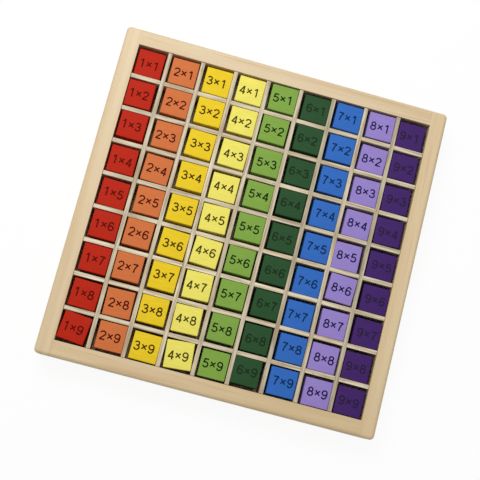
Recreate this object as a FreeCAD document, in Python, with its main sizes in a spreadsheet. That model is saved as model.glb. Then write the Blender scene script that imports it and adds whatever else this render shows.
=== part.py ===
# Wooden multiplication board: a shallow square tray, a grid of halved slats
# that divides it into nine by nine cells, and one painted cube in each cell.
#
# Frame: +X runs along the rows from 1 to 9, +Y runs up the board, +Z is up.
# The origin is the middle of the underside. Lengths are in millimetres.

import FreeCAD, Part
import Sketcher
import math
import os

# Driving sizes

SIZES = (
    ("block_edge", "15.2"),           # edge of a cube
    ("block_easing", "0.5"),          # chamfer that the painted cubes are sanded to
    ("cell_play", "1.9"),             # how much wider a cell is than its cube
    ("slat_thickness", "2.2"),
    ("slat_height", "15.5"),
    ("halving_play", "0.2"),          # how much wider a notch is than the slat in it
    ("grid_end_gap", "0.25"),         # from a slat's end to the rail
    ("rail_width", "9.0"),
    ("rail_height", "19.0"),
    ("outer_rounding", "2.0"),        # upper outer edges of the tray
    ("corner_excess", "0.5"),         # how much rounder its upright corners are
    ("foot_easing", "0.6"),           # chamfer of its lower outer edges
    ("base_thickness", "3.0"),
    ("rebate_depth", "4.0"),          # how far the rebate for the base panel enters a rail
    ("base_play", "0.25"),            # from the base panel's edge to the rebate's wall
)

COLOURS = (
    "red",
    "orange",
    "yellow",
    "light_yellow",
    "light_green",
    "dark_green",
    "blue",
    "lilac",
    "purple",
)
CELLS = len(COLOURS)
SLATS = CELLS - 1
MIDDLE = (CELLS + 1) / 2

# How the loose cubes lie in their cells, a line for each row from the top
# of the board and a letter for each column: hard against the left or right
# slat (L, R), nearer to it (l, r) or in the middle (m), and in the same way
# up or down the board (U, u, m, d, D).

ACROSS = (
    "mrRRRRRRl",
    "LRRRmRRRl",
    "mRRRRRRRl",
    "mrRrRrRRl",
    "rRrlRRRLm",
    "rmRmmRRRR",
    "rlrrrRrRR",
    "rmlLrmRml",
    "LRRrrLrRm",
)
ALONG = (
    "DddmudmmD",
    "mUUUUUuDd",
    "UuUuUmuDD",
    "ddUduUdDd",
    "DuUUUmdDD",
    "uUuUUuDuD",
    "uUUUUuDDD",
    "ddUUUmdDD",
    "UudUmUmDD",
)
HARD = 0.9
NEARER = 0.45
LEAN = {"L": -HARD, "l": -NEARER, "m": 0.0, "r": NEARER, "R": HARD,
        "D": -HARD, "d": -NEARER, "u": NEARER, "U": HARD}

# Cubes that lie turned, as a share of the largest turn that a cell allows,
# anticlockwise positive. Each key is a column and a row.

TURNED = {
    (1, 5): -0.20,
    (1, 8): -0.20,
    (1, 9): -0.71,
    (2, 4): -0.20,
    (2, 8): 0.20,
    (3, 3): -0.20,
    (3, 6): -0.22,
    (4, 3): -0.17,
    (4, 5): 0.22,
    (4, 6): -0.34,
    (4, 7): 0.20,
    (4, 8): 0.22,
    (4, 9): 0.65,
    (8, 2): -0.22,
    (8, 6): -0.34,
    (9, 3): 0.22,
    (9, 4): 0.22,
}

# Every other cube lies turned a little, by a share that follows a sine of its
# place: the largest share, and the radians from one column or row to the next.

SLIGHT_TURN = 0.07
COLUMN_STEP = 2.1
ROW_STEP = 3.3

# Lengths worked out from the driving sizes, as expressions

CELL = "(Sizes.block_edge + Sizes.cell_play)"
PITCH = f"({CELL} + Sizes.slat_thickness)"
GRID = f"({CELLS} * {CELL} + {SLATS} * Sizes.slat_thickness)"
OPENING = f"({GRID} + 2 * Sizes.grid_end_gap)"
OUTSIDE = f"({OPENING} + 2 * Sizes.rail_width)"
REBATE = f"({OPENING} + 2 * Sizes.rebate_depth)"
BASE = f"({REBATE} - 2 * Sizes.base_play)"
NOTCH = "(Sizes.slat_thickness + Sizes.halving_play)"
HALF_HEIGHT = "(Sizes.slat_height / 2)"
LARGEST_TURN = f"(asin({CELL} / (sqrt(2) * Sizes.block_edge)) - 45 deg)"

NEAR = 1e-3    # how close two edges' limits are when they count as the same
ROUGH = 1.0    # half the side of a rectangle before it takes its lengths from the sheet

doc = FreeCAD.newDocument("MultiplicationBoard")


def make_sheet():
    """The driving sizes, one to a row, each with its name as alias."""
    sheet = doc.addObject("Spreadsheet::Sheet", "Sizes")
    for row, (name, value) in enumerate(SIZES, 1):
        sheet.set(f"A{row}", name)
        sheet.set(f"B{row}", value)
        sheet.setAlias(f"B{row}", name)
    doc.recompute()
    return sheet


def make_body(label):
    body = doc.addObject("PartDesign::Body", label)
    body.Label = label
    return body


def sketch_on(body, role, name):
    """A sketch on one of the body's own origin planes."""
    plane = next(f for f in body.Origin.OriginFeatures if f.Role == role)
    sketch = body.newObject("Sketcher::SketchObject", name)
    sketch.AttachmentSupport = (plane, [""])
    sketch.MapMode = "FlatFace"
    return sketch


def draw_rectangle(sketch, left, low, width, height):
    """A rectangle whose lower left corner lies left and low of the sketch's origin."""
    corners = [
        FreeCAD.Vector(-ROUGH, -ROUGH, 0),
        FreeCAD.Vector(ROUGH, -ROUGH, 0),
        FreeCAD.Vector(ROUGH, ROUGH, 0),
        FreeCAD.Vector(-ROUGH, ROUGH, 0),
    ]
    for i in range(4):
        sketch.addGeometry(Part.LineSegment(corners[i], corners[(i + 1) % 4]), False)
    for i in range(4):
        sketch.addConstraint(Sketcher.Constraint("Coincident", i, 2, (i + 1) % 4, 1))
    for i, kind in enumerate(("Horizontal", "Vertical", "Horizontal", "Vertical")):
        sketch.addConstraint(Sketcher.Constraint(kind, i))
    named = (
        ("width", Sketcher.Constraint("DistanceX", 0, 1, 0, 2, 2 * ROUGH), width),
        ("height", Sketcher.Constraint("DistanceY", 1, 1, 1, 2, 2 * ROUGH), height),
        ("left", Sketcher.Constraint("DistanceX", 0, 1, -1, 1, ROUGH), left),
        ("low", Sketcher.Constraint("DistanceY", 0, 1, -1, 1, ROUGH), low),
    )
    for name, constraint, length in named:
        index = sketch.addConstraint(constraint)
        sketch.renameConstraint(index, name)
        sketch.setExpression(f"Constraints.{name}", length)


def pad(body, sketch, length, middle=False):
    feature = body.newObject("PartDesign::Pad", "Pad")
    feature.Profile = sketch
    feature.Midplane = middle
    feature.setExpression("Length", length)
    return feature


def edge_names(shape, wanted):
    return [f"Edge{i}" for i, edge in enumerate(shape.Edges, 1) if wanted(edge.BoundBox)]


def place(body, turn, along_x="0", along_y="0", along_z="0"):
    """Turn the body about Z by whole degrees and bind its place to the sizes."""
    upright = FreeCAD.Vector(0, 0, 1)
    body.Placement = FreeCAD.Placement(FreeCAD.Vector(), FreeCAD.Rotation(upright, turn))
    for axis, length in (("x", along_x), ("y", along_y), ("z", along_z)):
        body.setExpression(f"Placement.Base.{axis}", length)


# Tray

def make_base_panel():
    """The flat panel that closes the tray, flush with the rails' undersides."""
    body = make_body("base_panel")
    sketch = sketch_on(body, "XY_Plane", "PanelOutline")
    draw_rectangle(sketch, f"{BASE} / 2", f"{BASE} / 2", BASE, BASE)
    pad(body, sketch, "Sizes.base_thickness")
    return body


def make_rail(label, runs_through):
    """A rail along X with its inner face at y = 0 and its foot at z = 0.

    A rail that runs through shows its ends, so its corners and end edges are
    rounded too and its rebate stops short of the ends. The other kind stands
    between two such rails, and its rebate runs from end to end.
    """
    body = make_body(label)
    length = OUTSIDE if runs_through else OPENING
    rebate_length = REBATE if runs_through else OPENING

    outline = sketch_on(body, "XY_Plane", "RailOutline")
    draw_rectangle(outline, f"{length} / 2", "0", length, "Sizes.rail_width")
    pad(body, outline, "Sizes.rail_height")

    seat = sketch_on(body, "XY_Plane", "RebateOutline")
    draw_rectangle(seat, f"{rebate_length} / 2", "0", rebate_length, "Sizes.rebate_depth")
    rebate = body.newObject("PartDesign::Pocket", "Rebate")
    rebate.Profile = seat
    rebate.Reversed = True
    rebate.setExpression("Length", "Sizes.base_thickness")
    doc.recompute()

    whole = rebate.Shape.BoundBox

    def at_an_end(box):
        return box.XMin > whole.XMax - NEAR or box.XMax < whole.XMin + NEAR

    def upright_corner(box):
        return box.YMin > whole.YMax - NEAR and at_an_end(box)

    def upper_outer(box):
        if box.ZMin < whole.ZMax - NEAR:
            return False
        side = box.YMax > whole.YMax - NEAR and box.XLength > NEAR
        return side or (runs_through and at_an_end(box))

    def lower_outer(box):
        if box.ZMax > whole.ZMin + NEAR:
            return False
        side = box.YMax > whole.YMax - NEAR and box.XLength > NEAR
        return side or (runs_through and at_an_end(box))

    base = rebate
    if runs_through:
        base = body.newObject("PartDesign::Fillet", "CornerRounding")
        base.Base = (rebate, edge_names(rebate.Shape, upright_corner))
        base.setExpression("Radius", "Sizes.outer_rounding + Sizes.corner_excess")
        doc.recompute()

    rounding = body.newObject("PartDesign::Fillet", "OuterRounding")
    rounding.Base = (base, edge_names(base.Shape, upper_outer))
    rounding.setExpression("Radius", "Sizes.outer_rounding")
    doc.recompute()

    foot = body.newObject("PartDesign::Chamfer", "FootEasing")
    foot.Base = (rounding, edge_names(rounding.Shape, lower_outer))
    foot.setExpression("Size", "Sizes.foot_easing")
    return body


def make_tray():
    """Two side rails that run through, two rails between them, and the base."""
    half = f"{OPENING} / 2"
    left = make_rail("rail_left", True)
    place(left, 90, along_x=f"-{half}")
    right = make_rail("rail_right", True)
    place(right, 270, along_x=half)
    back = make_rail("rail_back", False)
    place(back, 0, along_y=half)
    front = make_rail("rail_front", False)
    place(front, 180, along_y=f"-{half}")
    return [make_base_panel(), left, right, back, front]


# Grid of halved slats

def make_slat(label, notched_from_below):
    """A slat along X, stood on edge, with a notch at each crossing.

    The notches go half way through, from below in one family of slats and
    from above in the other, so that the two drop into each other.
    """
    body = make_body(label)
    side = sketch_on(body, "XZ_Plane", "SideOutline")
    draw_rectangle(side, f"{GRID} / 2", "0", GRID, "Sizes.slat_height")
    pad(body, side, "Sizes.slat_thickness", middle=True)

    opening = sketch_on(body, "XZ_Plane", "NotchOutline")
    low = "0" if notched_from_below else f"-{HALF_HEIGHT}"
    first = f"{SLATS - 1} / 2 * {PITCH} + {NOTCH} / 2"
    draw_rectangle(opening, first, low, NOTCH, HALF_HEIGHT)
    notch = body.newObject("PartDesign::Pocket", "Notch")
    notch.Profile = opening
    notch.Type = "ThroughAll"
    notch.Midplane = True
    doc.recompute()

    notches = body.newObject("PartDesign::LinearPattern", "Notches")
    notches.Originals = [notch]
    notches.Direction = (opening, ["H_Axis"])
    notches.Occurrences = SLATS
    notches.setExpression("Length", f"{SLATS - 1} * {PITCH}")
    body.Tip = notches
    return body


def make_grid():
    """Slats up the board, notched from below, over slats across it."""
    slats = []
    for number in range(1, SLATS + 1):
        slat = make_slat(f"column_slat_{number}", True)
        place(slat, 90, f"{number - (SLATS + 1) / 2} * {PITCH}", "0", "Sizes.base_thickness")
        slats.append(slat)
    for number in range(1, SLATS + 1):
        slat = make_slat(f"row_slat_{number}", False)
        place(slat, 0, "0", f"{(SLATS + 1) / 2 - number} * {PITCH}", "Sizes.base_thickness")
        slats.append(slat)
    return slats


# Painted cubes

def turn_share(column, row):
    """The cube's own turn, or a slight one that differs from cube to cube."""
    slight = SLIGHT_TURN * math.sin(COLUMN_STEP * column + ROW_STEP * row)
    return TURNED.get((column, row), slight)


def make_block(column, row):
    """One cube, standing on the base panel somewhere in its cell.

    A square of edge a, turned by an angle, reaches a * (cos + sin) across, so
    the largest turn in a cell of width c has sin + cos = c / a. What is left
    of the cell's width after the turn is the play that the cube leans into.
    """
    body = make_body(f"block_{column}x{row}")
    outline = sketch_on(body, "XY_Plane", "BlockOutline")
    half = "Sizes.block_edge / 2"
    draw_rectangle(outline, half, half, "Sizes.block_edge", "Sizes.block_edge")
    cube = pad(body, outline, "Sizes.block_edge")
    doc.recompute()

    easing = body.newObject("PartDesign::Chamfer", "Easing")
    easing.Base = (cube, edge_names(cube.Shape, lambda box: True))
    easing.setExpression("Size", "Sizes.block_easing")

    share = turn_share(column, row)
    turn = f"({abs(share):.3f} * {LARGEST_TURN})"
    reach = f"(Sizes.block_edge * (cos({turn}) + sin({turn})))"
    play = f"(({CELL} - {reach}) / 2)"
    across = LEAN[ACROSS[row - 1][column - 1]]
    along = LEAN[ALONG[row - 1][column - 1]]
    sense = FreeCAD.Vector(0, 0, math.copysign(1, share))
    body.Placement = FreeCAD.Placement(FreeCAD.Vector(), FreeCAD.Rotation(sense, 1))
    body.setExpression("Placement.Rotation.Angle", turn)
    body.setExpression("Placement.Base.x", f"{column - MIDDLE} * {PITCH} + {across} * {play}")
    body.setExpression("Placement.Base.y", f"{MIDDLE - row} * {PITCH} + {along} * {play}")
    body.setExpression("Placement.Base.z", "Sizes.base_thickness")
    return body


def make_blocks():
    """The nine like cubes of each colour, kept together as one group."""
    groups = []
    for column, colour in enumerate(COLOURS, 1):
        blocks = [make_block(column, row) for row in range(1, CELLS + 1)]
        group = doc.addObject("Part::Compound", f"blocks_{colour}")
        group.Label = f"blocks_{colour}"
        group.Links = blocks
        groups.append(group)
    return groups


# Check and write

def check(parts):
    """Stop if a feature has failed or a part's shape is empty or not valid."""
    for item in doc.Objects:
        if "Invalid" in item.State or "Error" in item.State:
            raise RuntimeError(f"{item.Label} failed: {item.State}")
    for part in parts:
        if part.Shape.isNull() or not part.Shape.isValid():
            raise RuntimeError(f"{part.Label} has no valid shape")


def main():
    make_sheet()
    parts = make_tray() + make_grid() + make_blocks()
    doc.recompute()
    check(parts)
    os.makedirs("parts", exist_ok=True)
    for part in parts:
        part.Shape.exportStep(f"parts/{part.Label}.step")
        solids = len(part.Shape.Solids)
        print(f"{part.Label}: {solids} solids, {part.Shape.Volume:.1f} mm3")


main()
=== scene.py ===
"""Looks of a wooden multiplication board.

A square tray of varnished pine holds a grid of pale bare slats, and a painted
wooden cube with a printed task lies in each of its nine by nine cells. The
rails, the panel and the slats keep their solids and get their wood here. The
cubes and the printing are new surfaces.
"""

import math
import random

import bmesh
import bpy
import numpy as np
from mathutils import Euler, Matrix, Vector


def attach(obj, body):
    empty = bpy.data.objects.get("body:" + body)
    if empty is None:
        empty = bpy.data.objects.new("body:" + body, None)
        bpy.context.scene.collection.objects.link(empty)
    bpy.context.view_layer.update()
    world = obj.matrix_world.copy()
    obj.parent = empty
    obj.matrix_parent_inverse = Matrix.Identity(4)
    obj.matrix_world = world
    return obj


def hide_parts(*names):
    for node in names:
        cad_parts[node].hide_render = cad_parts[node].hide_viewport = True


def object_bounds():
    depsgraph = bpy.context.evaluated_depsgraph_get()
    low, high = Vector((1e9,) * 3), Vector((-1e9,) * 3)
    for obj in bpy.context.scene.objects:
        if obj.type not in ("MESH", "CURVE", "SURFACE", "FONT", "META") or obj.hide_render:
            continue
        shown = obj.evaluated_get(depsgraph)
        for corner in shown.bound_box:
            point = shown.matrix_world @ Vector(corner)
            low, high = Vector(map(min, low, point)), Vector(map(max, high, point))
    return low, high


bl_info = {
    "name": "Multiplication board",
    "version": (1, 0, 0),
    "blender": (4, 5, 0),
    "location": "3D View > Sidebar > Board",
    "description": "Dresses the packed multiplication board: wood, painted cubes, printed tasks and stage",
    "category": "Object",
}

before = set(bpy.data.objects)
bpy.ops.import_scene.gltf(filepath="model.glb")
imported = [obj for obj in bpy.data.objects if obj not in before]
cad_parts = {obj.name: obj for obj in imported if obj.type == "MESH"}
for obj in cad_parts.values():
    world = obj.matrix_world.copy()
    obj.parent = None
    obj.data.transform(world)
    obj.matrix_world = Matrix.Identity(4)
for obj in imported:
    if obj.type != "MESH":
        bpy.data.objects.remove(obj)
CAD_BOX = [list(corner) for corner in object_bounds()]

MM = 0.001
CELLS = 9
COLOURS = (
    "red",
    "orange",
    "yellow",
    "light_yellow",
    "light_green",
    "dark_green",
    "blue",
    "lilac",
    "purple",
)


# Colours and nodes

def linear(hex_colour):
    """A colour written as sRGB hex, as linear red, green, blue and alpha."""
    channels = [int(hex_colour[i:i + 2], 16) / 255 for i in (0, 2, 4)]
    curve = [c / 12.92 if c <= 0.04045 else ((c + 0.055) / 1.055) ** 2.4 for c in channels]
    return (*curve, 1.0)


def add_node(tree, kind, settings=None, inputs=None, links=None):
    """Add a node, set its settings and input values, and link its inputs."""
    node = tree.nodes.new(kind)
    for name, value in (settings or {}).items():
        setattr(node, name, value)
    for name, value in (inputs or {}).items():
        node.inputs[name].default_value = value
    for name, socket in (links or {}).items():
        tree.links.new(socket, node.inputs[name])
    return node


def new_material(name):
    """An empty material, its node tree and its output node."""
    material = bpy.data.materials.new(name)
    material.use_nodes = True
    tree = material.node_tree
    tree.nodes.clear()
    return material, tree, add_node(tree, "ShaderNodeOutputMaterial")


# Sizes and colours that a user would change

def colour_property(name, description, hex_colour):
    """A colour that the sidebar shows as a swatch."""
    return bpy.props.FloatVectorProperty(
        name=name, description=description, default=linear(hex_colour), size=4, min=0, max=1,
        subtype="COLOR")


def length_property(name, description, default_mm, least_mm, most_mm):
    """A length, given here in millimetres and kept in metres."""
    return bpy.props.FloatProperty(
        name=name, description=description, default=default_mm * MM, min=least_mm * MM,
        max=most_mm * MM, unit="LENGTH")


class BoardWood(bpy.types.PropertyGroup):
    """Colours of the bare and varnished wood"""
    rail_pale: colour_property("Rail wood", "Colour of the rails between their darker bands", "E3CCA5")
    rail_dark: colour_property("Rail bands", "Colour of the rails' broad darker bands", "D9BE93")
    streak: colour_property("Streaks", "Colour of the few narrow brown streaks", "BF9468")
    slat_pale: colour_property("Slat wood", "Colour of the bare slats", "DFD2B7")
    slat_dark: colour_property("Slat bands", "Colour of the slats' darker bands", "A59372")
    fleck: colour_property("Flecks", "Colour of the short dark flecks in the slats", "6E4A2C")
    panel: colour_property("Panel wood", "Colour of the thin plywood panel", "D9C29B")


class BoardPaints(bpy.types.PropertyGroup):
    """Paint of the cubes, column by column"""
    red: colour_property("Red", "Paint of the ones", "B2220C")
    orange: colour_property("Orange", "Paint of the twos", "CA6F3D")
    yellow: colour_property("Yellow", "Paint of the threes", "E4C423")
    light_yellow: colour_property("Light yellow", "Paint of the fours", "E8DD65")
    light_green: colour_property("Light green", "Paint of the fives", "7CA044")
    dark_green: colour_property("Dark green", "Paint of the sixes", "274A2A")
    blue: colour_property("Blue", "Paint of the sevens", "3167B8")
    lilac: colour_property("Lilac", "Paint of the eights", "9380C4")
    purple: colour_property("Purple", "Paint of the nines", "402364")


class BoardInks(bpy.types.PropertyGroup):
    """Black ink as each paint tints it, column by column"""
    red: colour_property("On red", "Ink of the ones", "590600")
    orange: colour_property("On orange", "Ink of the twos", "4C0400")
    yellow: colour_property("On yellow", "Ink of the threes", "3E2600")
    light_yellow: colour_property("On light yellow", "Ink of the fours", "403A08")
    light_green: colour_property("On light green", "Ink of the fives", "0C2404")
    dark_green: colour_property("On dark green", "Ink of the sixes", "182C19")
    blue: colour_property("On blue", "Ink of the sevens", "062C51")
    lilac: colour_property("On lilac", "Ink of the eights", "1B1545")
    purple: colour_property("On purple", "Ink of the nines", "2B1E3A")


class BoardCubes(bpy.types.PropertyGroup):
    """Shape of the cubes"""
    rounding: length_property("Rounding", "Radius of a cube's edges", 0.45, 0.1, 2)


class BoardFigures(bpy.types.PropertyGroup):
    """Sizes of the printed tasks"""
    height: length_property("Height", "Height of a printed figure", 5.0, 2, 9)
    stroke: length_property("Stroke", "Width of a figure's strokes", 0.76, 0.2, 1)
    ink: length_property("Ink", "Thickness of the ink", 0.04, 0.01, 0.2)


class BoardStage(bpy.types.PropertyGroup):
    """Camera and light"""
    camera_place: bpy.props.FloatVectorProperty(
        name="Camera place", description="Where the camera stands",
        default=(-0.0319, -0.1016, 0.5629), subtype="TRANSLATION")
    camera_turn: bpy.props.FloatVectorProperty(
        name="Camera turn", description="How the camera is turned from looking straight down",
        default=(math.radians(8.745), math.radians(-5.411), math.radians(14.452)), subtype="EULER")
    lens: bpy.props.FloatProperty(
        name="Lens", description="Focal length in millimetres on a 36 mm sensor", default=75.0,
        min=10, max=200, unit="CAMERA")
    lamp: bpy.props.FloatProperty(
        name="Lamp", description="Power of the soft lamp", default=4.0, min=0, max=50, unit="POWER")
    surround: bpy.props.FloatProperty(
        name="Surround", description="Strength of the even light from all around", default=0.45,
        min=0, max=1, subtype="FACTOR")


# Wood

UPRIGHT = math.pi / 2

# Length, width and depth of one mark of a pattern, in millimetres. A real fibre
# is about 0.03 mm wide, too fine to show, so it is drawn as coarse as it needs.
FIBRE_MM = (14, 0.35, 0.35)
FLECK_MM = (3.5, 0.8, 0.8)
STREAK_MM = (60, 1.6, 5)
RAIL_BANDS_MM = (130, 5, 9)
PANEL_BANDS_MM = (130, 12, 9)
SLAT_BANDS_MM = (22, 1.2, 9)

# The part of the noise's range over which a mark grows from nothing to its full share
BANDS_GROW = (0.35, 0.68)
STREAKS_GROW = (0.60, 0.76)
FLECKS_GROW = (0.68, 0.80)

# How far the next seed's stretch of wood lies along and across the plank, in metres
NEXT_STRETCH = (0.37, 0.11)

# Each rail's turn of the grain, seed, tone, warmth and share of the streaks
RAILS = {
    "left": (UPRIGHT, 6, 0.90, 0.0, 0.35),
    "right": (UPRIGHT, 11, 0.93, 0.04, 0.5),
    "back": (0.0, 9, 0.885, 0.0, 0.5),
    "front": (0.0, 1, 0.88, 0.08, 0.5),
}
PANEL_SEED = 9

# Each family's turn of the grain and its darkest tone. The column slats reach darker than the rows, and this
# extra dark is painted shade
SLATS = {"column": (UPRIGHT, 0.78), "row": (0.0, 0.92)}
PALEST_SLAT = 1.12
# Seed of the strips' random tones, picked so that the column slats come out darker towards the right: painted
# shade
SLAT_TONE_AND_SHADE_SEED = 1144
FIRST_SLAT_SEED = 20


def wood(name, look, pale, dark, bands_mm, turn, seed, streaks=0.5, flecks=0.0, roughness=0.5):
    """Pale straight-grained wood, planed and sanded along its length.

    The eye sees a soft, nearly matt surface with broad blurred bands, a few
    thin brown lines and a fine fibre, all running lengthwise. Noise drawn out
    along X gives the bands of its annual rings, a finer one whose peaks alone
    count gives the brown streaks, and the finest one gives the fibre, which
    also lifts the surface a little. Bare sawn slats have short flecks as well.
    """
    material, tree, output = new_material(name)
    place = add_node(tree, "ShaderNodeTexCoord")
    along = add_node(
        tree, "ShaderNodeMapping",
        inputs={"Rotation": (0, 0, turn), "Location": (*(seed * step for step in NEXT_STRETCH), 0)},
        links={"Vector": place.outputs["Object"]})

    def noise(size_mm, detail):
        """Noise with marks of a size along the grain, across it and in depth."""
        drawn = add_node(tree, "ShaderNodeMapping", inputs={"Scale": [1 / (size * MM) for size in size_mm]},
                         links={"Vector": along.outputs["Vector"]})
        return add_node(tree, "ShaderNodeTexNoise", inputs={"Scale": 1.0, "Detail": detail},
                        links={"Vector": drawn.outputs["Vector"]}).outputs["Fac"]

    def peaks(source, grows, share):
        """How much of a mark shows: nothing below its range of the noise and a share above it."""
        low, high = grows
        return add_node(tree, "ShaderNodeMapRange",
                        inputs={"From Min": low, "From Max": high, "To Min": 0.0, "To Max": share},
                        links={"Value": source}).outputs["Result"]

    def mixed(factor, first, second):
        """The first colour, and the second over it by a factor."""
        node = add_node(tree, "ShaderNodeMix", {"data_type": "RGBA"}, {"B": second}, {"Factor": factor})
        if isinstance(first, bpy.types.NodeSocket):
            tree.links.new(first, node.inputs["A"])
        else:
            node.inputs["A"].default_value = first
        return node.outputs["Result"]

    fibre = noise(FIBRE_MM, 2.0)
    colour = mixed(peaks(noise(bands_mm, 2.0), BANDS_GROW, 1.0), pale, dark)
    colour = mixed(peaks(noise(STREAK_MM, 1.0), STREAKS_GROW, streaks), colour, look.streak)
    if flecks:
        colour = mixed(peaks(noise(FLECK_MM, 0.0), FLECKS_GROW, flecks), colour, look.fleck)
    grain = add_node(tree, "ShaderNodeMix", {"data_type": "RGBA", "blend_type": "MULTIPLY"},
                     {"Factor": 0.12}, {"A": colour, "B": fibre})
    bump = add_node(tree, "ShaderNodeBump", inputs={"Strength": 0.15, "Distance": 0.05 * MM},
                    links={"Height": fibre})
    shader = add_node(tree, "ShaderNodeBsdfPrincipled", inputs={"Roughness": roughness, "IOR": 1.5},
                      links={"Base Color": grain.outputs["Result"], "Normal": bump.outputs["Normal"]})
    tree.links.new(shader.outputs["BSDF"], output.inputs["Surface"])
    return material


def toned(colour, tone, warmth=0.0):
    """The colour times a tone, and where it is warmer, with less blue and a little less green."""
    red, green, blue = (channel * tone for channel in tuple(colour)[:3])
    return (red, green * (1 - warmth / 4), blue * (1 - warmth), 1.0)


def dress(node, material):
    """Give a CAD node its material."""
    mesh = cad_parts[node].data
    mesh.materials.clear()
    mesh.materials.append(material)


class BOARD_OT_tray(bpy.types.Operator):
    """Give the rails their varnished pine and the base panel its plywood"""
    bl_idname = "board.tray"
    bl_label = "Tray"

    def execute(self, context):
        look = context.scene.board_wood
        # Planed pine under a clear matt varnish: warm and even, with broad faint bands
        for side, (turn, seed, tone, warmth, streaks) in RAILS.items():
            pale, dark = (toned(colour, tone, warmth) for colour in (look.rail_pale, look.rail_dark))
            dress(f"rail_{side}", wood(f"varnished pine {side}", look, pale, dark, RAIL_BANDS_MM, turn,
                                       seed, streaks))
        # Thin plywood, its face veneer peeled and sanded: wide bands and the same soft sheen
        dress("base_panel", wood("thin plywood", look, look.panel, look.rail_dark, PANEL_BANDS_MM, 0.0,
                                 PANEL_SEED))
        return {"FINISHED"}


class BOARD_OT_grid(bpy.types.Operator):
    """Give the halved slats their bare sawn softwood, each strip with a tone of its own, and the column slats
    painted shade that darkens them to the right
    """
    bl_idname = "board.grid"
    bl_label = "Grid of slats"

    def execute(self, context):
        look = context.scene.board_wood
        chance = random.Random(SLAT_TONE_AND_SHADE_SEED)
        # Bare softwood, sawn in strips: more matt than the rails, with short dark flecks
        for family, (turn, darkest) in SLATS.items():
            for number in range(1, CELLS):
                # Each strip's own random tone, which in the column slats also carries painted shade, darker
                # towards the right
                tone = chance.uniform(darkest, PALEST_SLAT)
                pale, dark = (toned(colour, tone) for colour in (look.slat_pale, look.slat_dark))
                dress(f"{family}_slat_{number}",
                      wood(f"bare sawn softwood {family} {number}", look, pale, dark, SLAT_BANDS_MM, turn,
                           FIRST_SLAT_SEED + number, streaks=0.4, flecks=0.35, roughness=0.65))
        return {"FINISHED"}


# Meshes

# Points that lie closer than this are merged
MERGED = 0.0001 * MM


def new_piece(name, points, faces, material, smooth=True):
    """A mesh object from points and quads, doubles merged and faces turned outwards."""
    mesh = bpy.data.meshes.new(name)
    mesh.from_pydata(points.tolist(), [], faces.tolist())
    shape = bmesh.new()
    shape.from_mesh(mesh)
    bmesh.ops.remove_doubles(shape, verts=shape.verts, dist=MERGED)
    bmesh.ops.recalc_face_normals(shape, faces=shape.faces)
    shape.to_mesh(mesh)
    shape.free()
    mesh.polygons.foreach_set("use_smooth", [smooth] * len(mesh.polygons))
    mesh.materials.append(material)
    piece = bpy.data.objects.new(name, mesh)
    bpy.context.scene.collection.objects.link(piece)
    return piece


def set_at(points, middle, turn):
    """Points turned about Z and moved to a middle."""
    c, s = math.cos(turn), math.sin(turn)
    rotation = np.array([[c, s, 0], [-s, c, 0], [0, 0, 1]])
    return points @ rotation + middle


# Cubes

# Length, width and depth of a streak of fibre under the paint, in millimetres
PAINT_STREAK_MM = (6, 0.6, 0.6)


def rounded_cube(edge, radius, rounding_steps=4, flat_steps=2):
    """Points and faces of a cube with rounded edges, centred on the origin.

    Each face is a grid of two parameters. Along each, the middle runs flat
    from minus to plus the core's half edge, and the rest turns by up to 45
    degrees on either side. A point is the core's point plus the radius times
    the unit direction (tan a, tan b, 1), so neighbouring faces meet exactly.
    """
    core = edge / 2 - radius
    turn = np.linspace(-math.pi / 4, 0, rounding_steps + 1)
    angle = np.concatenate([turn, np.zeros(flat_steps - 1), -turn[::-1]])
    across = np.concatenate([np.full(rounding_steps, -core), np.linspace(-core, core, flat_steps + 1),
                             np.full(rounding_steps, core)])
    a, b = np.meshgrid(np.tan(angle), np.tan(angle), indexing="ij")
    x, y = np.meshgrid(across, across, indexing="ij")
    direction = np.stack([a, b, np.ones_like(a)], -1)
    direction /= np.linalg.norm(direction, axis=-1, keepdims=True)
    face = np.stack([x, y, np.full_like(x, core)], -1) + radius * direction
    n = len(angle)
    corner = np.arange(n * n).reshape(n, n)
    quads = np.stack([corner[:-1, :-1], corner[1:, :-1], corner[1:, 1:], corner[:-1, 1:]], -1)
    quads = quads.reshape(-1, 4)
    points, faces = [], []
    for number, turned in enumerate((
        face,  # top
        face[..., [0, 2, 1]] * (1, -1, 1),  # front
        face[..., [0, 1, 2]] * (1, -1, -1),  # bottom
        face[..., [0, 2, 1]] * (1, 1, -1),  # back
        face[..., [2, 1, 0]] * (1, 1, -1),  # right
        face[..., [2, 1, 0]] * (-1, 1, 1),  # left
    )):
        points.append(turned.reshape(-1, 3))
        faces.append(quads + number * n * n)
    return np.concatenate(points), np.concatenate(faces)


def cube_places(node):
    """Middle of the top and turn of each cube in a CAD group from back to front, and their edge.

    The highest points are the four corners of each cube's flat top. A cube's
    middle is their mean, and its turn is that of the corner to the right and
    the back, less 45 degrees.
    """
    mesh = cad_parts[node].data
    points = np.empty(len(mesh.vertices) * 3, np.float32)
    mesh.vertices.foreach_get("co", points)
    points = points.reshape(-1, 3).astype(float)
    high, low = points[:, 2].max(), points[:, 2].min()
    micron = 0.001 * MM
    top = points[points[:, 2] > high - 10 * micron]
    top = np.unique(np.round(top / micron), axis=0) * micron
    top = top[np.argsort(-top[:, 1])].reshape(CELLS, 4, 3)
    middles = top.mean(1)
    arms = top - middles[:, None]
    right_back = arms[np.arange(CELLS), (arms[..., 0] + arms[..., 1]).argmax(1)]
    turns = np.arctan2(right_back[:, 1], right_back[:, 0]) - math.pi / 4
    return middles, turns, high - low


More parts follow.
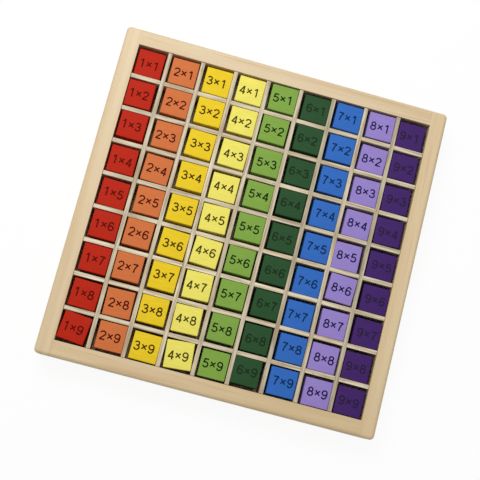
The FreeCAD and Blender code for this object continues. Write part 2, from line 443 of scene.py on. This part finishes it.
def satin_paint(name, colour):
    """Water-based satin paint on sanded wood.

    The eye sees one even colour with a soft weak sheen, and under it the
    wood's fibre as faint streaks, drawn coarser than it is so that it shows.
    """
    material, tree, output = new_material(name)
    place = add_node(tree, "ShaderNodeTexCoord")
    drawn = add_node(tree, "ShaderNodeMapping",
                     inputs={"Scale": [1 / (size * MM) for size in PAINT_STREAK_MM]},
                     links={"Vector": place.outputs["Object"]})
    streaks = add_node(tree, "ShaderNodeTexNoise", inputs={"Scale": 1.0, "Detail": 2.0},
                       links={"Vector": drawn.outputs["Vector"]})
    shade = add_node(tree, "ShaderNodeMapRange",
                     inputs={"From Min": 0.3, "From Max": 0.7, "To Min": 0.93, "To Max": 1.04},
                     links={"Value": streaks.outputs["Fac"]})
    tint = add_node(tree, "ShaderNodeMix", {"data_type": "RGBA", "blend_type": "MULTIPLY"},
                    {"Factor": 1.0, "A": colour}, {"B": shade.outputs["Result"]})
    bump = add_node(tree, "ShaderNodeBump", inputs={"Strength": 0.12, "Distance": 0.04 * MM},
                    links={"Height": streaks.outputs["Fac"]})
    shader = add_node(tree, "ShaderNodeBsdfPrincipled",
                      inputs={"Roughness": 0.6, "IOR": 1.48, "Specular IOR Level": 0.1},
                      links={"Base Color": tint.outputs["Result"], "Normal": bump.outputs["Normal"]})
    tree.links.new(shader.outputs["BSDF"], output.inputs["Surface"])
    return material


class BOARD_OT_cubes(bpy.types.Operator):
    """Make the painted cubes in place of the nine CAD groups"""
    bl_idname = "board.cubes"
    bl_label = "Painted cubes"

    def execute(self, context):
        rounding = context.scene.board_cubes.rounding
        for colour in COLOURS:
            node = f"blocks_{colour}"
            middles, turns, edge = cube_places(node)
            cube, quads = rounded_cube(edge, rounding)
            sunk = (0, 0, edge / 2)
            points = [set_at(cube, middle - sunk, turn) for middle, turn in zip(middles, turns)]
            faces = [quads + number * len(cube) for number in range(CELLS)]
            paint = satin_paint(f"satin paint {colour}", getattr(context.scene.board_paints, colour))
            piece = new_piece(f"cubes_{colour}", np.concatenate(points), np.concatenate(faces), paint)
            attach(piece, "root")
            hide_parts(node)
        return {"FINISHED"}


# Printed tasks

def arc(middle, radii, start, end, steps=14):
    """Points on an ellipse, from one angle to another in degrees."""
    angle = np.radians(np.linspace(start, end, steps + 1))
    return np.stack([middle[0] + radii[0] * np.cos(angle), middle[1] + radii[1] * np.sin(angle)], -1)


def line(*points):
    """Points joined by straight stretches."""
    return np.array(points, float)


def joined(*paths):
    """Paths run together into one stroke."""
    return np.concatenate(paths)


# Middle lines of the figures' strokes, on a height of one
FIGURE_WIDTH = 0.68
FIGURES = {
    "1": [line((0.41, 0.0), (0.41, 1.0)), arc((0.02, 1.04), (0.36, 0.27), -72, -8, 8)],
    "2": [joined(arc((0.34, 0.70), (0.27, 0.24), 172, -18, 16),
                 line((0.52, 0.52), (0.30, 0.32), (0.10, 0.09))),
          line((0.04, 0.06), (0.63, 0.06))],
    "3": [joined(arc((0.32, 0.735), (0.23, 0.205), 165, -90, 18), line((0.24, 0.53))),
          arc((0.33, 0.295), (0.28, 0.235), 105, -168, 20)],
    "4": [line((0.49, 0.0), (0.49, 0.98)), line((0.46, 0.92), (0.09, 0.29)),
          line((0.03, 0.28), (0.66, 0.28))],
    "5": [line((0.60, 0.93), (0.19, 0.93), (0.11, 0.49)),
          arc((0.33, 0.33), (0.28, 0.27), 142, -160, 20)],
    "6": [arc((0.345, 0.31), (0.265, 0.25), 0, 360, 26),
          joined(arc((0.37, 0.52), (0.29, 0.42), 36, 180, 16), line((0.08, 0.31)))],
    "7": [line((0.05, 0.93), (0.60, 0.93)), arc((1.02, 0.0), (0.76, 1.10), 123, 180, 10)],
    "8": [arc((0.34, 0.735), (0.22, 0.205), 0, 360, 22), arc((0.34, 0.295), (0.27, 0.235), 0, 360, 26)],
    "×": [line((0.04, 0.27), (0.54, 0.77)), line((0.04, 0.77), (0.54, 0.27))],
}
FIGURES["9"] = [np.array([FIGURE_WIDTH, 1.0]) - stroke for stroke in FIGURES["6"]]
WIDTHS = {"×": 0.58}
GAP = 0.16

# How much higher each further stroke of a figure lies, as a share of the ink's thickness
LAYER_RISE = 0.06

# How far a print may lie off the middle of its cube, to the right and to the back in
# millimetres, and how far it may be turned in degrees
PRINT_RIGHT_MM = (-0.7, 0.3)
PRINT_BACK_MM = (-0.5, 0.5)
PRINT_TURN = (-1, 1)
PRINT_SEED = 7


def ribbon(path, half, low, high):
    """A flat bar along a path: at each point the path's own left direction,
    lengthened at a bend to the mitre, times plus and minus half the width, at
    a low and a high level. Ends are closed, or joined where the path closes."""
    run = np.diff(path, axis=0)
    run /= np.linalg.norm(run, axis=1, keepdims=True)
    left = np.stack([-run[:, 1], run[:, 0]], -1)
    closed = np.allclose(path[0], path[-1])
    before = np.concatenate([left[-1:] if closed else left[:1], left])
    after = np.concatenate([left, left[:1] if closed else left[-1:]])
    mitre = (before + after) / (1 + (before * after).sum(1, keepdims=True))
    sides = np.stack([path + half * mitre, path - half * mitre], 1)
    ring = np.concatenate([np.insert(sides, 2, high, axis=2), np.insert(sides[:, ::-1], 2, low, axis=2)], 1)
    index = np.arange(len(path) * 4).reshape(-1, 4)
    around = np.roll(index, -1, axis=1)
    quads = np.stack([index[:-1], around[:-1], around[1:], index[1:]], -1).reshape(-1, 4)
    if not closed:
        quads = np.concatenate([quads, index[:1, ::-1], index[-1:]])
    return ring.reshape(-1, 3), quads


def task(text, height, stroke, ink):
    """Points and faces of a printed task, centred on the origin. Each stroke
    after the first lies a hair higher, so that no two faces coincide."""
    points, faces, along, count = [], [], 0.0, 0
    for figure in text:
        for layer, path in enumerate(FIGURES[figure]):
            placed = (path + (along, 0)) * height
            ring, quads = ribbon(placed, stroke / 2, -ink, ink * (1 + LAYER_RISE * layer))
            points.append(ring)
            faces.append(quads + count)
            count += len(ring)
        along += WIDTHS.get(figure, FIGURE_WIDTH) + GAP
    points = np.concatenate(points)
    points[:, :2] -= np.array([(along - GAP) / 2, 0.5]) * height
    return points, np.concatenate(faces)


def print_ink(name, colour):
    """Pad-printed ink: a thin matt film, which the eye sees as a darker flat tone of the paint."""
    material, tree, output = new_material(name)
    shader = add_node(tree, "ShaderNodeBsdfPrincipled",
                      inputs={"Base Color": colour, "Roughness": 0.6, "IOR": 1.5, "Specular IOR Level": 0.05})
    tree.links.new(shader.outputs["BSDF"], output.inputs["Surface"])
    return material


class BOARD_OT_figures(bpy.types.Operator):
    """Print each cube's task on its upper face"""
    bl_idname = "board.figures"
    bl_label = "Printed tasks"

    def execute(self, context):
        figures = context.scene.board_figures
        chance = random.Random(PRINT_SEED)
        for column, colour in enumerate(COLOURS, 1):
            middles, turns, _ = cube_places(f"blocks_{colour}")
            points, faces, count = [], [], 0
            for row, (middle, turn) in enumerate(zip(middles, turns), 1):
                shape, quads = task(f"{column}×{row}", figures.height, figures.stroke, figures.ink)
                shape[:, 0] += chance.uniform(*PRINT_RIGHT_MM) * MM
                shape[:, 1] += chance.uniform(*PRINT_BACK_MM) * MM
                points.append(set_at(shape, middle, turn + math.radians(chance.uniform(*PRINT_TURN))))
                faces.append(quads + count)
                count += len(shape)
            ink = print_ink(f"pad-printed ink {colour}", getattr(context.scene.board_inks, colour))
            piece = new_piece(f"tasks_{colour}", np.concatenate(points), np.concatenate(faces), ink,
                              smooth=False)
            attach(piece, "root")
        return {"FINISHED"}


# Stage

# Half the floor's side, how far it lies below the board, and how far it reaches in under it
FLOOR_HALF = 3.0
FLOOR_DROP = 0.1 * MM
FLOOR_TUCK = 0.7 * MM

# Share of plain white in what the eye sees of the floor
FLOOR_WHITE = 0.92

LAMP_PLACE = (-0.22, 0.30, 0.62)
LAMP_SIDE = 0.5


class BOARD_OT_stage(bpy.types.Operator):
    """Set up the floor, the light and the camera"""
    bl_idname = "board.stage"
    bl_label = "Stage"

    def execute(self, context):
        stage = context.scene.board_stage
        make_floor()
        make_light(stage.lamp, stage.surround)
        make_camera(stage.camera_place, stage.camera_turn, stage.lens)
        context.scene.view_settings.view_transform = "Standard"
        return {"FINISHED"}


def seen_directly(tree, share):
    """A share for rays from the eye, by way of mirrors and glass too, and none for rays that light things."""
    rays = add_node(tree, "ShaderNodeLightPath")
    seen = rays.outputs["Is Camera Ray"]
    for kind in ("Is Glossy Ray", "Is Transmission Ray"):
        seen = add_node(tree, "ShaderNodeMath", {"operation": "MAXIMUM"},
                        links={0: seen, 1: rays.outputs[kind]}).outputs["Value"]
    return add_node(tree, "ShaderNodeMath", {"operation": "MULTIPLY"}, {1: share},
                    {0: seen}).outputs["Value"]


def make_floor():
    """A white floor. The eye sees it as plain white less the object's shadow,
    and from below it is clear. It is open under the board, by a little less
    than the board's own outline, so that light reaches the underside."""
    material, tree, output = new_material("white floor")
    matt = add_node(tree, "ShaderNodeBsdfDiffuse", inputs={"Color": linear("F2F2F2")})
    white = add_node(tree, "ShaderNodeEmission", inputs={"Color": linear("FFFFFF"), "Strength": 1.0})
    upper = add_node(tree, "ShaderNodeMixShader",
                     links={"Fac": seen_directly(tree, FLOOR_WHITE), 1: matt.outputs["BSDF"],
                            2: white.outputs["Emission"]})
    side = add_node(tree, "ShaderNodeNewGeometry")
    clear = add_node(tree, "ShaderNodeBsdfTransparent")
    both = add_node(tree, "ShaderNodeMixShader",
                    links={"Fac": side.outputs["Backfacing"], 1: upper.outputs["Shader"],
                           2: clear.outputs["BSDF"]})
    tree.links.new(both.outputs["Shader"], output.inputs["Surface"])
    corners = np.array([(-1, -1, 0), (1, -1, 0), (1, 1, 0), (-1, 1, 0)], float)
    opening = CAD_BOX[1][0] - FLOOR_TUCK
    points = np.concatenate([corners * FLOOR_HALF, corners * opening]) - (0, 0, FLOOR_DROP)
    mesh = bpy.data.meshes.new("floor")
    mesh.from_pydata(points.tolist(), [], [(0, 1, 5, 4), (1, 2, 6, 5), (2, 3, 7, 6), (3, 0, 4, 7)])
    mesh.materials.append(material)
    floor = bpy.data.objects.new("floor", mesh)
    bpy.context.scene.collection.objects.link(floor)


def make_light(power, even):
    """One large soft lamp from the upper left, and an even surround. The
    surround lights the object at its own strength and looks white to the eye."""
    lamp = bpy.data.lights.new("softbox", "AREA")
    lamp.shape = "SQUARE"
    lamp.size = LAMP_SIDE
    lamp.energy = power
    place = Vector(LAMP_PLACE)
    box = bpy.data.objects.new("softbox", lamp)
    box.location = place
    box.rotation_euler = (-place).to_track_quat("-Z", "Y").to_euler()
    bpy.context.scene.collection.objects.link(box)

    world = bpy.data.worlds.new("surround")
    world.use_nodes = True
    tree = world.node_tree
    tree.nodes.clear()
    output = add_node(tree, "ShaderNodeOutputWorld")
    strength = add_node(tree, "ShaderNodeMath", {"operation": "ADD"}, {1: even},
                        {0: seen_directly(tree, 1 - even)})
    glow = add_node(tree, "ShaderNodeBackground", inputs={"Color": linear("FFFFFF")},
                    links={"Strength": strength.outputs["Value"]})
    tree.links.new(glow.outputs["Background"], output.inputs["Surface"])
    bpy.context.scene.world = world


def make_camera(place, turn, focal_length):
    """A camera above the board and a little in front, with the board upright but for a lean to the right."""
    lens = bpy.data.cameras.new("camera")
    lens.sensor_width = 36.0
    lens.lens = focal_length
    lens.clip_start, lens.clip_end = 0.01, 10.0
    camera = bpy.data.objects.new("camera", lens)
    camera.matrix_world = Matrix.Translation(place) @ Euler(turn).to_matrix().to_4x4()
    bpy.context.scene.collection.objects.link(camera)
    bpy.context.scene.camera = camera


# Sidebar and registration

class BOARD_PT_sidebar(bpy.types.Panel):
    """Settings and operators of the multiplication board"""
    bl_idname = "BOARD_PT_sidebar"
    bl_label = "Multiplication board"
    bl_space_type = "VIEW_3D"
    bl_region_type = "UI"
    bl_category = "Board"

    def draw(self, context):
        scene, layout = context.scene, self.layout
        for groups, operators in (
            ((scene.board_wood,), ("board.tray", "board.grid")),
            ((scene.board_cubes, scene.board_paints), ("board.cubes",)),
            ((scene.board_figures, scene.board_inks), ("board.figures",)),
            ((scene.board_stage,), ("board.stage",)),
        ):
            box = layout.box()
            for group in groups:
                for name in group.__annotations__:
                    box.prop(group, name)
            for operator in operators:
                box.operator(operator)


GROUPS = {
    "board_wood": BoardWood,
    "board_paints": BoardPaints,
    "board_inks": BoardInks,
    "board_cubes": BoardCubes,
    "board_figures": BoardFigures,
    "board_stage": BoardStage,
}
OPERATORS = (BOARD_OT_tray, BOARD_OT_grid, BOARD_OT_cubes, BOARD_OT_figures, BOARD_OT_stage)


def register():
    """Make the settings, the operators and the panel known."""
    for name, group in GROUPS.items():
        bpy.utils.register_class(group)
        setattr(bpy.types.Scene, name, bpy.props.PointerProperty(type=group))
    for item in (*OPERATORS, BOARD_PT_sidebar):
        bpy.utils.register_class(item)


def unregister():
    """Take them away again, in the opposite order."""
    for item in reversed((*OPERATORS, BOARD_PT_sidebar)):
        bpy.utils.unregister_class(item)
    for name, group in reversed(GROUPS.items()):
        delattr(bpy.types.Scene, name)
        bpy.utils.unregister_class(group)


def main():
    """Dress the board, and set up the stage."""
    register()
    bpy.ops.board.tray()
    bpy.ops.board.grid()
    bpy.ops.board.cubes()
    bpy.ops.board.figures()
    bpy.ops.board.stage()


if __name__ == "__main__":
    main()
